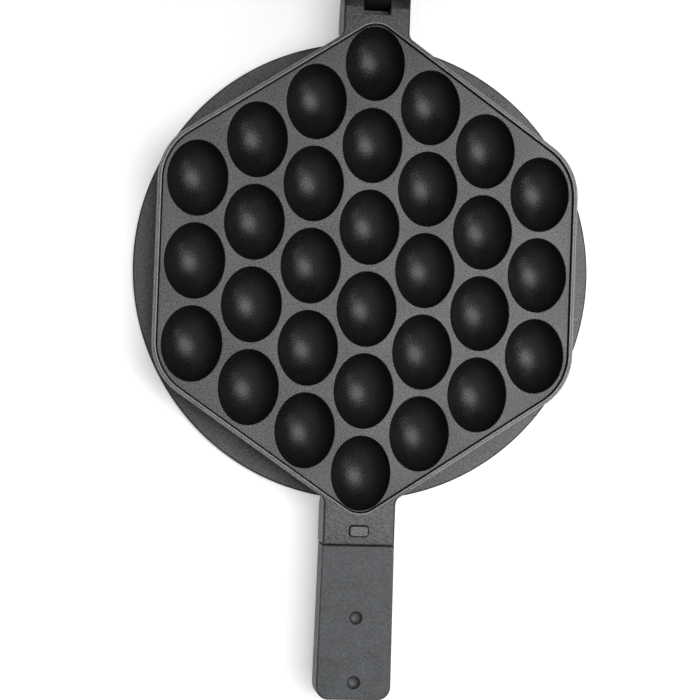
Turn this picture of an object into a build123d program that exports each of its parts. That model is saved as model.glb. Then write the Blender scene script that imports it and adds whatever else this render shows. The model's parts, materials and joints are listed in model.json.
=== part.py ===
from build123d import *
import math
import os

# Bubble waffle maker: two cast aluminium halves with thirty egg-shaped cavities each, joined by a
# pinned hinge at the back and carried by a phenolic grip on each half at the front. Millimetres.
# Frame: the origin is the centre of the base ring's underside, +Z is up, +Y points from the grips to
# the hinge, and +X is to the right of someone who holds the grips. The lid stands open at rest.

# Heights of one half, from the underside of its base ring
LAND_Z = 20.0
LIP_RISE = 1.2
FACE_Z = LAND_Z + LIP_RISE
PLATE_THICKNESS = 6.0
RING_THICKNESS = 3.0

# The two halves when they are shut
MATING_GAP = 0.3
MATING_Z = FACE_Z + MATING_GAP / 2

# Hexagonal plate: the line of the seal groove is half a plate width from the centre on every side
GROOVE_HALF = 88.05
SLANT_NORMAL = 56.0
SIDE_CORNER_R = 24.0
APEX_R = 10.0
GROOVE_WIDTH = 0.6
GROOVE_DEPTH = 0.7
LIP_WIDTH = 1.8
SKIRT_WALL = 1.9

# Cavities: egg shapes in seven columns
COLUMN_COUNTS = (3, 4, 5, 6, 5, 4, 3)
COLUMN_PITCH = 24.5
ROW_PITCH = 35.0
CAVITY_HALF_X = 12.75
CAVITY_HALF_Y = 16.0
BUMP_WALL = 2.0

# Round base ring
RING_OUTER_R = 100.7
RING_INNER_R = 85.0
RING_EDGE_ROUND = 1.0

# Necks at both ends of the plate: widths at the face, and sides that widen away from it
NECK_THICKNESS = 10.8
NECK_ROOT_Y = 88.0
NECK_FILLET = 5.0
NECK_DRAFT = 8.0
HINGE_NECK_WIDTH = 28.2
GRIP_NECK_WIDTH = 30.4
GRIP_NECK_END = 117.9

# Locating key on the lower grip neck, and its socket in the lid
KEY_SIZE = (7.5, 4.2)
KEY_Y = -112.0
KEY_RISE = 1.1
KEY_CORNER_R = 1.0
KEY_SOCKET_SIZE = (8.5, 5.2)
KEY_SOCKET_DEPTH = 1.7

# Hinge: a fork on the lower half, a tongue on the lid and a pressed pin through both
HINGE_Y = 116.8
HINGE_Z = FACE_Z - NECK_THICKNESS / 2
EAR_ROOT_Y = 110.8
EAR_R = 4.0
SLOT_WIDTH = 11.4
SLOT_ROOT_Y = 109.0
SLOT_CORNER_R = 1.0
TONGUE_WIDTH = 10.8
TONGUE_R = 5.2
TONGUE_ROOT_LENGTH = 2.0
TONGUE_TOP_Z = 31.0
LID_NECK_END = 116.3
HEEL_R = 2.0
HEEL_OFFSET = 6.35
HEEL_ANGLE = 300.0
OPEN_ANGLE = 90.0
PIN_R = 2.0
PIN_LENGTH = 29.6
PIN_CHAMFER = 0.3
EAR_BORE_R = 2.03
TONGUE_BORE_R = 2.06

# Tang: the flat bar of the casting inside the grip
TANG_WIDTH = 19.0
TANG_END = 180.0
TANG_THICKNESS = 5.0
TANG_TOP_Z = 16.2
TANG_END_R = 4.0
TANG_HOLE_R = 1.8

# Grip: widths at its face, drafted sides down to a rounded back
GRIP_START = 118.3
GRIP_END = 183.6
GRIP_FRONT_WIDTH = 30.6
GRIP_END_WIDTH = 31.8
GRIP_THICKNESS = 15.0
GRIP_BACK_Z = FACE_Z - GRIP_THICKNESS
GRIP_DRAFT = 7.0
GRIP_DRAFT_DEPTH = 9.0
GRIP_END_CORNER_R = 5.5
GRIP_BACK_ROUND = 5.0
GRIP_FACE_ROUND = 0.5
TANG_CLEARANCE = 0.15
POCKET_LOW_Z = TANG_TOP_Z - TANG_THICKNESS - TANG_CLEARANCE
POCKET_TOP_Z = TANG_TOP_Z + TANG_CLEARANCE

# Grip screws in the back, the brass inserts that they go into, and the dimples in the face over them
SCREW_YS = (148.8, 176.2)
SCREW_R = 1.5
SCREW_HEAD_R = 2.5
SCREW_HEAD_HEIGHT = 2.0
SCREW_HEAD_CHAMFER = 0.4
SCREW_SINK = 1.2
SCREW_SEAT_Z = GRIP_BACK_Z + SCREW_SINK + SCREW_HEAD_HEIGHT
SCREW_TIP_Z = 18.6
SCREW_SLOT_WIDTH = 0.8
SCREW_SLOT_DEPTH = 0.8
RECESS_R = 2.7
SCREW_HOLE_R = 1.7
INSERT_R = 2.3
INSERT_BORE_R = 1.52
INSERT_LENGTH = 2.4
INSERT_POCKET_R = 2.32
INSERT_POCKET_DEPTH = 2.5
DIMPLE_R = 3.3
DIMPLE_DEPTH = 1.7

# How far a block runs into its neighbour, and how far a cut runs past a face
OVERLAP = 0.5
PAST = 1.0

# How close two positions are when they count as the same
SAME = 0.01


def plate_outline(grow):
    """Rounded hexagon whose sides lie `grow` outside the line of the seal groove."""
    half = GROOVE_HALF + grow
    corner_y = half * math.tan(math.radians(SLANT_NORMAL / 2))
    apex_y = half / math.sin(math.radians(SLANT_NORMAL))
    points = [
        (half, corner_y),
        (0, apex_y),
        (-half, corner_y),
        (-half, -corner_y),
        (0, -apex_y),
        (half, -corner_y),
    ]
    outline = make_face(Polyline(*points, close=True))
    corners = [v for v in outline.vertices() if abs(v.X) > SAME]
    outline = fillet(corners, SIDE_CORNER_R + grow)
    apexes = [v for v in outline.vertices() if abs(v.X) < SAME]
    return fillet(apexes, APEX_R + grow)


def slab(outline, low, high):
    """Straight block on a flat outline, from height low to height high."""
    return extrude(Pos(0, 0, low) * outline, high - low)


def cavity_centres():
    """Plan positions of the cavities, column by column."""
    centres = []
    middle = (len(COLUMN_COUNTS) - 1) / 2
    for column, count in enumerate(COLUMN_COUNTS):
        x = (column - middle) * COLUMN_PITCH
        for row in range(count):
            centres.append((x, (row - (count - 1) / 2) * ROW_PITCH))
    return centres


def egg(wall):
    """Whole egg about its own centre: an ellipse arc revolved about Y, grown by a wall."""
    half_x = CAVITY_HALF_X + wall
    half_y = CAVITY_HALF_Y + wall
    arc = EllipticalCenterArc((0, 0), half_x, half_y, -90, arc_size=180)
    profile = make_face([arc, Line((0, half_y), (0, -half_y))])
    return revolve(profile, Axis.Y)


def bump():
    """Lower cap of a cavity's outer wall, as it hangs out of the plate."""
    top = LAND_Z - PLATE_THICKNESS + OVERLAP
    reach = CAVITY_HALF_Y + BUMP_WALL + PAST
    keep = Pos(0, 0, top - reach / 2) * Box(2 * reach, 2 * reach, reach)
    return (Pos(0, 0, LAND_Z) * egg(BUMP_WALL)) & keep


def neck_bar(direction, width, start, end):
    """Straight bar of a neck whose sides widen away from the face."""
    low = FACE_Z - NECK_THICKNESS
    foot = width / 2 + NECK_THICKNESS * math.tan(math.radians(NECK_DRAFT))
    y = direction * start
    corners = [
        (-width / 2, y, FACE_Z),
        (width / 2, y, FACE_Z),
        (foot, y, low),
        (-foot, y, low),
    ]
    section = make_face(Polyline(*corners, close=True))
    return extrude(section, end - start, dir=(0, direction, 0))


def neck_plan(direction, width, end):
    """Plan of one neck with its root filleted into the plate's outline."""
    plate = plate_outline(GROOVE_WIDTH / 2 + LIP_WIDTH)
    strip = Pos(0, direction * end / 2) * Rectangle(width, end)
    joined = plate + strip
    inner = [
        v for v in joined.vertices()
        if abs(abs(v.X) - width / 2) < SAME and NECK_ROOT_Y < v.Y * direction < end - PAST
    ]
    rounded = fillet(inner, NECK_FILLET)
    window = Pos(0, direction * (NECK_ROOT_Y + end) / 2) * Rectangle(3 * width, end - NECK_ROOT_Y)
    return rounded & window


def neck(direction, width, end):
    """Neck block outside the skirt's inner face."""
    block = slab(neck_plan(direction, width, end), FACE_Z - NECK_THICKNESS, FACE_Z)
    block += neck_bar(direction, width, NECK_ROOT_Y, end)
    inside = plate_outline(GROOVE_WIDTH / 2 + LIP_WIDTH - SKIRT_WALL)
    block -= slab(inside, 0, LAND_Z - PLATE_THICKNESS)
    return block - slab(plate_outline(GROOVE_WIDTH / 2), LAND_Z, FACE_Z)


def tang():
    """Flat bar that runs on from the grip neck, with two screw holes."""
    length = TANG_END - GRIP_NECK_END + OVERLAP
    plan = Pos(0, -(TANG_END - length / 2)) * Rectangle(TANG_WIDTH, length)
    far = plan.vertices().sort_by(Axis.Y)[:2]
    plan = fillet(far, TANG_END_R)
    for y in SCREW_YS:
        plan -= Pos(0, -y) * Circle(TANG_HOLE_R)
    return slab(plan, TANG_TOP_Z - TANG_THICKNESS, TANG_TOP_Z)


def base_ring():
    """Flat round flange that the half stands on."""
    disc = Pos(0, 0, RING_THICKNESS / 2) * Cylinder(RING_OUTER_R, RING_THICKNESS)
    rim = disc.edges().filter_by(GeomType.CIRCLE).sort_by(Axis.Z)[-1]
    disc = fillet(rim, RING_EDGE_ROUND)
    return disc - Pos(0, 0, RING_THICKNESS / 2) * Cylinder(RING_INNER_R, RING_THICKNESS)


def half_casting(hinge_neck_end):
    """What both halves share: plate, lip, groove, skirt, ring, cavities, necks and tang."""
    outer = plate_outline(GROOVE_WIDTH / 2 + LIP_WIDTH)
    lip_inner = plate_outline(GROOVE_WIDTH / 2)
    groove_inner = plate_outline(-GROOVE_WIDTH / 2)
    skirt_inner = plate_outline(GROOVE_WIDTH / 2 + LIP_WIDTH - SKIRT_WALL)
    body = slab(outer, RING_THICKNESS - OVERLAP, FACE_Z)
    body -= slab(skirt_inner, 0, LAND_Z - PLATE_THICKNESS)
    body -= slab(lip_inner, LAND_Z, FACE_Z)
    body += base_ring()
    body += neck(1, HINGE_NECK_WIDTH, hinge_neck_end)
    body += neck(-1, GRIP_NECK_WIDTH, GRIP_NECK_END)
    body += tang()
    hollow_bump = bump()
    for x, y in cavity_centres():
        body += Pos(x, y) * hollow_bump
    cavity = egg(0)
    for x, y in cavity_centres():
        body -= Pos(x, y, LAND_Z) * cavity
    return body - slab(lip_inner - groove_inner, LAND_Z - GROOVE_DEPTH, LAND_Z)


def hinge_bar(radius, length):
    """Round bar along the hinge axis, centred on the maker's middle plane."""
    return Pos(0, HINGE_Y, HINGE_Z) * Rot(0, 90, 0) * Cylinder(radius, length)


def ears():
    """End of the hinge neck that tapers to a barrel about the hinge axis, before its slot is cut."""
    root = Pos(EAR_ROOT_Y, HINGE_Z) * Circle(NECK_THICKNESS / 2)
    barrel = Pos(HINGE_Y, HINGE_Z) * Circle(EAR_R)
    side = Plane.YZ * make_hull([*root.edges(), *barrel.edges()])
    bar = neck_bar(1, HINGE_NECK_WIDTH, NECK_ROOT_Y, HINGE_Y + EAR_R)
    return extrude(side, HINGE_NECK_WIDTH, both=True) & bar


def lower_plate():
    """Lower casting: the shared half with a fork and a locating key."""
    body = half_casting(EAR_ROOT_Y)
    body += ears()
    slot_end = HINGE_Y + EAR_R + PAST
    slot = Pos(0, (SLOT_ROOT_Y + slot_end) / 2) * Rectangle(SLOT_WIDTH, slot_end - SLOT_ROOT_Y)
    slot = fillet(slot.vertices().sort_by(Axis.Y)[:2], SLOT_CORNER_R)
    body -= slab(slot, 0, FACE_Z + PAST)
    body -= hinge_bar(EAR_BORE_R, PIN_LENGTH + PAST)
    key = Pos(0, KEY_Y) * RectangleRounded(*KEY_SIZE, KEY_CORNER_R)
    return body + slab(key, FACE_Z - OVERLAP, FACE_Z + KEY_RISE)


def tongue():
    """Tongue of the lid as it lies when shut: a web from the neck down to a barrel with a stop heel."""
    front = HINGE_Y - TONGUE_R
    back = HINGE_Y + TONGUE_R
    root = front - TONGUE_ROOT_LENGTH
    with BuildLine(Plane.YZ) as side:
        Polyline((front, HINGE_Z), (front, FACE_Z + MATING_GAP), (root, FACE_Z + MATING_GAP),
                 (root, TONGUE_TOP_Z), (HINGE_Y, TONGUE_TOP_Z))
        RadiusArc((HINGE_Y, TONGUE_TOP_Z), (back, TONGUE_TOP_Z - TONGUE_R), TONGUE_R)
        Line((back, TONGUE_TOP_Z - TONGUE_R), (back, HINGE_Z))
        Line((back, HINGE_Z), (front, HINGE_Z))
    web = extrude(make_face(side.line), TONGUE_WIDTH / 2, both=True)
    heel_y = HINGE_Y + HEEL_OFFSET * math.cos(math.radians(HEEL_ANGLE))
    heel_z = HINGE_Z + HEEL_OFFSET * math.sin(math.radians(HEEL_ANGLE))
    heel = Pos(0, heel_y, heel_z) * Rot(0, 90, 0) * Cylinder(HEEL_R, TONGUE_WIDTH)
    return web + hinge_bar(TONGUE_R, TONGUE_WIDTH) + heel


def stand_open(shape):
    """Turns a shape of the lid from its shut place to its place at rest."""
    about = Pos(0, HINGE_Y, HINGE_Z)
    return about * Rot(-OPEN_ANGLE, 0, 0) * Pos(0, -HINGE_Y, -HINGE_Z) * shape


def turn_over(shape):
    """Turns a shape of the lower half half a turn about Y, to its place on the shut lid."""
    return Pos(0, 0, MATING_Z) * Rot(0, 180, 0) * Pos(0, 0, -MATING_Z) * shape


def lid_plate():
    """Lid casting: the shared half with a tongue and a socket for the key, turned over and opened."""
    body = half_casting(LID_NECK_END)
    body += turn_over(tongue())
    body -= turn_over(hinge_bar(TONGUE_BORE_R, HINGE_NECK_WIDTH))
    socket = Pos(0, KEY_Y) * RectangleRounded(*KEY_SOCKET_SIZE, KEY_CORNER_R)
    body -= slab(socket, FACE_Z - KEY_SOCKET_DEPTH, FACE_Z)
    return stand_open(turn_over(body))


def grip_plan(grow):
    """Plan of the grip, `grow` outside its face, with rounded far corners and extra length at the neck."""
    front = -GRIP_START + PAST
    points = [
        (GRIP_FRONT_WIDTH / 2 + grow, front),
        (-GRIP_FRONT_WIDTH / 2 - grow, front),
        (-GRIP_END_WIDTH / 2 - grow, -GRIP_END - grow),
        (GRIP_END_WIDTH / 2 + grow, -GRIP_END - grow),
    ]
    plan = make_face(Polyline(*points, close=True))
    return fillet(plan.vertices().sort_by(Axis.Y)[:2], GRIP_END_CORNER_R + grow)


def grip_body():
    """Outside of the grip: drafted from the face down to its widest level, then rounded to the back."""
    level = FACE_Z - GRIP_DRAFT_DEPTH
    widest = grip_plan(GRIP_DRAFT_DEPTH * math.tan(math.radians(GRIP_DRAFT)))
    upper = loft([Pos(0, 0, level) * widest, Pos(0, 0, FACE_Z) * grip_plan(0)], ruled=True)
    face = upper.faces().sort_by(Axis.Z)[-1]
    upper = fillet(face.edges().sort_by(Axis.Y)[:-1], GRIP_FACE_ROUND)
    lower = slab(widest, GRIP_BACK_Z, level)
    back = lower.faces().sort_by(Axis.Z)[0]
    body = upper + fillet(back.edges().sort_by(Axis.Y)[:-1], GRIP_BACK_ROUND)
    neck_end = Pos(0, -GRIP_START + PAST / 2, FACE_Z - GRIP_THICKNESS / 2)
    return body - neck_end * Box(2 * GRIP_FRONT_WIDTH, PAST, GRIP_THICKNESS)


def grip():
    """Phenolic grip of the lower half: tang pocket, screw recesses in the back, dimples in the face."""
    body = grip_body()
    pocket = Pos(0, -(GRIP_START + TANG_END) / 2) * Rectangle(
        TANG_WIDTH + 2 * TANG_CLEARANCE, TANG_END - GRIP_START + 2 * TANG_CLEARANCE)
    pocket = fillet(pocket.vertices().sort_by(Axis.Y)[:2], TANG_END_R)
    body -= slab(pocket, POCKET_LOW_Z, POCKET_TOP_Z)
    for y in SCREW_YS:
        spot = Pos(0, -y)
        body -= slab(spot * Circle(RECESS_R), GRIP_BACK_Z, SCREW_SEAT_Z)
        body -= slab(spot * Circle(SCREW_HOLE_R), SCREW_SEAT_Z, POCKET_TOP_Z)
        body -= slab(spot * Circle(INSERT_POCKET_R), POCKET_TOP_Z, POCKET_TOP_Z + INSERT_POCKET_DEPTH)
        body -= Pos(0, -y, FACE_Z + DIMPLE_R - DIMPLE_DEPTH) * Sphere(DIMPLE_R)
    return body


def grip_screw():
    """Slotted cheese-head screw on the Z axis, its head down, at its height in the grip."""
    head_z = SCREW_SEAT_Z - SCREW_HEAD_HEIGHT
    head = slab(Circle(SCREW_HEAD_R), head_z, SCREW_SEAT_Z)
    head = chamfer(head.edges().filter_by(GeomType.CIRCLE).sort_by(Axis.Z)[0], SCREW_HEAD_CHAMFER)
    groove = Rectangle(2 * SCREW_HEAD_R + PAST, SCREW_SLOT_WIDTH)
    head -= slab(groove, head_z, head_z + SCREW_SLOT_DEPTH)
    return head + slab(Circle(SCREW_R), SCREW_SEAT_Z, SCREW_TIP_Z)


def grip_insert():
    """Brass sleeve moulded into the face wall of the grip, on the Z axis."""
    ring = Circle(INSERT_R) - Circle(INSERT_BORE_R)
    return slab(ring, POCKET_TOP_Z, POCKET_TOP_Z + INSERT_LENGTH)


def at_screws(piece):
    """One copy of a piece at each screw position."""
    return [Pos(0, -y) * piece for y in SCREW_YS]


def hinge_pin():
    """Plain pin through both ears and the tongue, pressed in flush with the ears."""
    pin = hinge_bar(PIN_R, PIN_LENGTH)
    return chamfer(pin.edges().filter_by(GeomType.CIRCLE), PIN_CHAMFER)


def lid_side(shapes):
    """Pieces of the lower grip carried over to the open lid."""
    return [stand_open(turn_over(shape)) for shape in shapes]


def save(node, shapes):
    """Writes one node's solids to its STEP file."""
    solids = [solid for shape in shapes for solid in shape.solids()]
    whole = solids[0] if len(solids) == 1 else Compound(children=solids)
    export_step(whole, f"parts/{node}.step")


def main():
    os.makedirs("parts", exist_ok=True)
    lower_grip = grip()
    screws = at_screws(grip_screw())
    inserts = at_screws(grip_insert())
    save("lower_plate", [lower_plate()])
    save("lid_plate", [lid_plate()])
    save("hinge_pin", [hinge_pin()])
    save("lower_grip", [lower_grip])
    save("lower_grip_screws", screws)
    save("lower_grip_inserts", inserts)
    save("lid_grip", lid_side([lower_grip]))
    save("lid_grip_screws", lid_side(screws))
    save("lid_grip_inserts", lid_side(inserts))


main()
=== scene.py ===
"""Looks of the bubble waffle maker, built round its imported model.

Sizes are in millimetres in a half's own frame until a mesh is made: the origin is the centre of the base
ring's underside, +Z points out of the cavities and +Y points to the hinge. The lid uses the same frame and
is turned over and opened when its mesh is made.
"""
import json
import logging
import math
from dataclasses import dataclass, field
from enum import Enum
from typing import Iterable, Sequence

import bpy
import numpy as np
from mathutils import Matrix, Vector, geometry


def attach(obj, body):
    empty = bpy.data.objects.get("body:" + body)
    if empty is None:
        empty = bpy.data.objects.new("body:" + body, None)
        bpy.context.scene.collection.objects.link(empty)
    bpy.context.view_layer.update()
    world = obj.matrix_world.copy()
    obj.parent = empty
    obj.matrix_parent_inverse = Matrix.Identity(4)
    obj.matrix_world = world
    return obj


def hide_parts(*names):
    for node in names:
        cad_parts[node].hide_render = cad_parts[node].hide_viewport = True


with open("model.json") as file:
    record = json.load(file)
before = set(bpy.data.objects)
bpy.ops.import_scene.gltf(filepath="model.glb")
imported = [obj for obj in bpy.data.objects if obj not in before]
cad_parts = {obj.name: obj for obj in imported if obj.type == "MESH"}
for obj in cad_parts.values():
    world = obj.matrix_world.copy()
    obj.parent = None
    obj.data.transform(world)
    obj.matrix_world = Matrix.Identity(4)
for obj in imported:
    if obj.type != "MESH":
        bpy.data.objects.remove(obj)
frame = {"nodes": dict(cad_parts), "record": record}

logging.basicConfig(level=logging.INFO, format="%(message)s")
LOG = logging.getLogger("waffle_maker")

Piece = bpy.types.Object
Socket = bpy.types.NodeSocket
Pair = tuple[float, float]
Place = tuple[float, float, float]
Colour = tuple[float, float, float]

MM = 0.001
# Slack in millimetres where a test asks whether a point lies at a place.
NEAR = 0.02
# Chords in the quarter circle of an edge.
EDGE_STEPS = 4
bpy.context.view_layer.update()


class Cut(Enum):
    """What a second solid does to a first one."""

    JOIN = "UNION"
    REMOVE = "DIFFERENCE"


class Body(Enum):
    """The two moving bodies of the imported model."""

    LOWER = "lower_half"
    LID = "lid"


@dataclass(frozen=True)
class HalfSizes:
    """Driving sizes of one half, in millimetres, as the model's source has them."""

    land_z: float = 20.0
    face_z: float = 21.2
    plate_thickness: float = 6.0
    ring_thickness: float = 3.0
    groove_half: float = 88.05
    slant_normal: float = 56.0
    side_corner_r: float = 24.0
    apex_r: float = 10.0
    groove_width: float = 0.6
    groove_depth: float = 0.7
    lip_width: float = 1.8
    skirt_wall: float = 1.9
    column_counts: tuple[int, ...] = (3, 4, 5, 6, 5, 4, 3)
    column_pitch: float = 24.5
    row_pitch: float = 35.0
    cavity_half_x: float = 12.75
    cavity_half_y: float = 16.0
    bump_wall: float = 2.0
    ring_outer_r: float = 100.7
    ring_inner_r: float = 85.0
    neck_thickness: float = 10.8
    neck_fillet: float = 5.0
    neck_draft: float = 8.0
    hinge_neck_width: float = 28.2
    grip_neck_width: float = 30.4
    grip_neck_end: float = 117.9
    key_size: Pair = (7.5, 4.2)
    key_y: float = -112.0
    key_rise: float = 1.1
    key_corner_r: float = 1.0
    key_socket_size: Pair = (8.5, 5.2)
    key_socket_depth: float = 1.7
    hinge_y: float = 116.8
    hinge_z: float = 15.8
    mating_gap: float = 0.3
    open_angle: float = 90.0
    slot_width: float = 11.4
    slot_root_y: float = 109.0
    ear_root_y: float = 110.8
    ear_r: float = 4.0
    tongue_width: float = 10.8
    tongue_r: float = 5.2
    tongue_root_length: float = 2.0
    tongue_top: float = 31.0
    lid_neck_end: float = 116.3
    heel_r: float = 2.0
    heel_offset: float = 6.35
    heel_angle: float = 300.0
    ear_bore_r: float = 2.03
    tongue_bore_r: float = 2.06
    tang_width: float = 19.0
    tang_end: float = 180.0
    tang_thickness: float = 5.0
    tang_top_z: float = 16.2
    tang_hole_r: float = 1.8
    screw_ys: Pair = (148.8, 176.2)

    @property
    def mating_z(self) -> float:
        """Height of the plane in which the shut halves meet."""
        return self.face_z + self.mating_gap / 2

    @property
    def lip_offset(self) -> float:
        """Distance from the groove's line to the lip's outer side."""
        return self.groove_width / 2 + self.lip_width

    @property
    def underside_z(self) -> float:
        """Height of the plate's underside between the bumps."""
        return self.land_z - self.plate_thickness

    def cavity_centres(self) -> np.ndarray:
        """Plan positions of the cavities, column by column, as an array of pairs."""
        middle = (len(self.column_counts) - 1) / 2
        columns = [
            np.column_stack([
                np.full(count, (column - middle) * self.column_pitch),
                (np.arange(count) - (count - 1) / 2) * self.row_pitch,
            ])
            for column, count in enumerate(self.column_counts)
        ]
        return np.vstack(columns)

    def lid_matrix(self) -> Matrix:
        """Transform, in millimetres, from a half's own frame to the lid's open place."""
        over = Matrix.Translation((0, 0, 2 * self.mating_z)) @ Matrix.Rotation(math.pi, 4, "Y")
        hinge = Matrix.Translation((0, self.hinge_y, self.hinge_z))
        opened = Matrix.Rotation(-math.radians(self.open_angle), 4, "X")
        return hinge @ opened @ hinge.inverted() @ over


@dataclass(frozen=True)
class Shell:
    """A surface as arrays: points (n, 3), quads (m, 4) and triangles (k, 3)."""

    points: np.ndarray
    quads: np.ndarray = field(default_factory=lambda: np.zeros((0, 4), int))
    tris: np.ndarray = field(default_factory=lambda: np.zeros((0, 3), int))

    def flipped(self) -> "Shell":
        """The same surface facing the other way."""
        return Shell(self.points, self.quads[:, ::-1], self.tris[:, ::-1])

    def moved(self, points: np.ndarray) -> "Shell":
        """The same faces over other points."""
        return Shell(points, self.quads, self.tris)

    def volume(self) -> float:
        """Signed volume under the surface, positive where a closed shell faces outwards."""
        halves = [self.quads[:, [0, 1, 2]], self.quads[:, [0, 2, 3]], self.tris]
        a, b, c = self.points[np.vstack(halves)].transpose(1, 0, 2)
        return float(np.einsum("ij,ij->i", a, np.cross(b, c)).sum() / 6)

    def outward(self) -> "Shell":
        """The closed shell with its faces turned outwards."""
        return self if self.volume() > 0 else self.flipped()


def joined(shells: Iterable[Shell]) -> Shell:
    """Puts several surfaces into one, with their points still separate.

    Args:
        shells: the surfaces.

    Returns:
        One surface with the faces of all of them.
    """
    points, quads, tris, start = [], [], [], 0
    for shell in shells:
        points.append(shell.points)
        quads.append(shell.quads + start)
        tris.append(shell.tris + start)
        start += len(shell.points)
    return Shell(np.vstack(points), np.vstack(quads), np.vstack(tris))


def grid_shell(points: np.ndarray, closed_rows: bool = False) -> Shell:
    """Quads over a grid of points whose columns close on themselves.

    Args:
        points: array (rows, columns, 3).
        closed_rows: joins the last row to the first one as well.

    Returns:
        The surface; each quad runs along a row first and then to the next row.
    """
    rows, columns = points.shape[:2]
    index = np.arange(rows * columns).reshape(rows, columns)
    lower = index if closed_rows else index[:-1]
    upper = np.roll(index, -1, axis=0) if closed_rows else index[1:]
    quads = np.stack([lower, np.roll(lower, -1, axis=1), np.roll(upper, -1, axis=1), upper], axis=-1)
    return Shell(points.reshape(-1, 3), quads.reshape(-1, 4))


def pole_shell(ring: np.ndarray, pole: np.ndarray) -> Shell:
    """Triangles from a closed ring to one pole point.

    Args:
        ring: array (n, 3).
        pole: array of 3.

    Returns:
        The surface; each triangle runs along the ring first and then to the pole.
    """
    count = len(ring)
    index = np.arange(count)
    tris = np.column_stack([index, np.roll(index, -1), np.full(count, count)])
    return Shell(np.vstack([ring, pole[None]]), tris=tris)


def inside_loop(points: np.ndarray, loop: np.ndarray) -> np.ndarray:
    """Even-odd test of plan points against a closed loop.

    Args:
        points: array (n, 2).
        loop: array (m, 2).

    Returns:
        Array of n booleans, true where an upward ray from the point crosses the loop an odd number of times.
    """
    x, y = points[:, 0:1], points[:, 1:2]
    ax, ay = loop[:, 0], loop[:, 1]
    bx, by = np.roll(ax, -1), np.roll(ay, -1)
    spans = (ax > x) != (bx > x)
    width = np.where(bx == ax, 1.0, bx - ax)
    crossing = ay + (x - ax) * (by - ay) / width
    return ((spans & (crossing > y)).sum(axis=1) % 2) == 1


def flat_fill(outer: np.ndarray, holes: Sequence[np.ndarray], z: float) -> Shell:
    """Upward triangles of a flat area at height z, inside one loop and outside others.

    Args:
        outer: outer loop, array (n, 2).
        holes: loops cut out of it, arrays (m, 2).
        z: height of the area.

    Returns:
        The filled area, whose points are the loops' own points.
    """
    loops = [outer, *holes]
    flat = np.vstack(loops)
    edges, start = [], 0
    for loop in loops:
        ring = np.arange(start, start + len(loop))
        edges.append(np.column_stack([ring, np.roll(ring, -1)]))
        start += len(loop)
    vectors = [Vector(p) for p in flat]
    result = geometry.delaunay_2d_cdt(vectors, np.vstack(edges).tolist(), [], 1, 1e-6)
    source = np.array([ids[0] for ids in result[3]])
    tris = source[np.array(result[2])]
    middles = flat[tris].mean(axis=1)
    keep = np.ones(len(tris), bool)
    for hole in holes:
        keep &= ~inside_loop(middles, hole)
    tris = tris[keep]
    a, b, c = (flat[tris[:, k]] for k in range(3))
    turn = (b[:, 0] - a[:, 0]) * (c[:, 1] - a[:, 1]) - (b[:, 1] - a[:, 1]) * (c[:, 0] - a[:, 0])
    tris = np.where((turn > 0)[:, None], tris, tris[:, ::-1])
    return Shell(np.column_stack([flat, np.full(len(flat), z)]), tris=tris)


@dataclass(frozen=True)
class Path:
    """A closed plan path, counter-clockwise, with the outward normal at each point."""

    points: np.ndarray
    normals: np.ndarray

    def at(self, offset: float) -> np.ndarray:
        """The path moved outwards by an offset."""
        return self.points + offset * self.normals

    def carried(self, profile: np.ndarray) -> Shell:
        """Carries a profile along the path: point = path + offset x normal, at the profile's height.

        Args:
            profile: array (n, 2) of offset and height, from bottom to top of an outer side.

        Returns:
            A band that faces away from the path's inside.
        """
        plan = self.points[None] + profile[:, 0, None, None] * self.normals[None]
        height = np.broadcast_to(profile[:, 1, None, None], plan.shape[:2] + (1,))
        return grid_shell(np.concatenate([plan, height], axis=2))

    def block(self, profile: np.ndarray) -> Shell:
        """Closed solid: the carried profile with a flat lid on its first and last ring."""
        low = flat_fill(self.at(profile[0, 0]), [], profile[0, 1]).flipped()
        high = flat_fill(self.at(profile[-1, 0]), [], profile[-1, 1])
        return joined([self.carried(profile), low, high])


def arc(centre: Sequence[float], radius: float, start: float, end: float, steps: int) -> np.ndarray:
    """Points at centre + radius x (cos, sin) of angles from start to end degrees, both included."""
    angles = np.radians(np.linspace(start, end, steps + 1))
    return np.asarray(centre) + radius * np.column_stack([np.cos(angles), np.sin(angles)])


def spokes(start: float, end: float, steps: int) -> np.ndarray:
    """Unit vectors at even angles from start to end degrees, both included."""
    return arc((0.0, 0.0), 1.0, start, end, steps)


def edge_profile(low: float, high: float, low_r: float, high_r: float) -> np.ndarray:
    """Side of a block with rounded edges: two quarter circles joined by a straight wall.

    Args:
        low: height of the underside.
        high: height of the top.
        low_r: radius of the lower edge.
        high_r: radius of the upper edge.

    Returns:
        Array of offset and height, from bottom to top.
    """
    bottom = arc((-low_r, low + low_r), low_r, -90, 0, EDGE_STEPS)
    top = arc((-high_r, high - high_r), high_r, 0, 90, EDGE_STEPS)
    return np.vstack([bottom, top])


def rounded_polygon(corners: np.ndarray, radii: Sequence[float], steps: int = 8) -> Path:
    """Closed path on a convex polygon whose corners are arcs.

    At each corner the arc's centre lies radius inside both sides, and its angles run from the normal of
    the side before to the normal of the side after.

    Args:
        corners: array (n, 2), counter-clockwise.
        radii: one radius for each corner.
        steps: number of chords in each arc.

    Returns:
        The path with its outward normals.
    """
    corners = np.asarray(corners, float)
    sides = np.roll(corners, -1, axis=0) - corners
    angles = np.degrees(np.arctan2(-sides[:, 0], sides[:, 1]))
    points, normals = [], []
    for index, radius in enumerate(radii):
        before, after = angles[index - 1], angles[index]
        after = before + (after - before) % 360
        pair = np.vstack([spokes(before, before, 0), spokes(after, after, 0)])
        centre = np.linalg.solve(pair, pair @ corners[index] - radius)
        points.append(arc(centre, radius, before, after, steps))
        normals.append(spokes(before, after, steps))
    return Path(np.vstack(points), np.vstack(normals))


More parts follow.
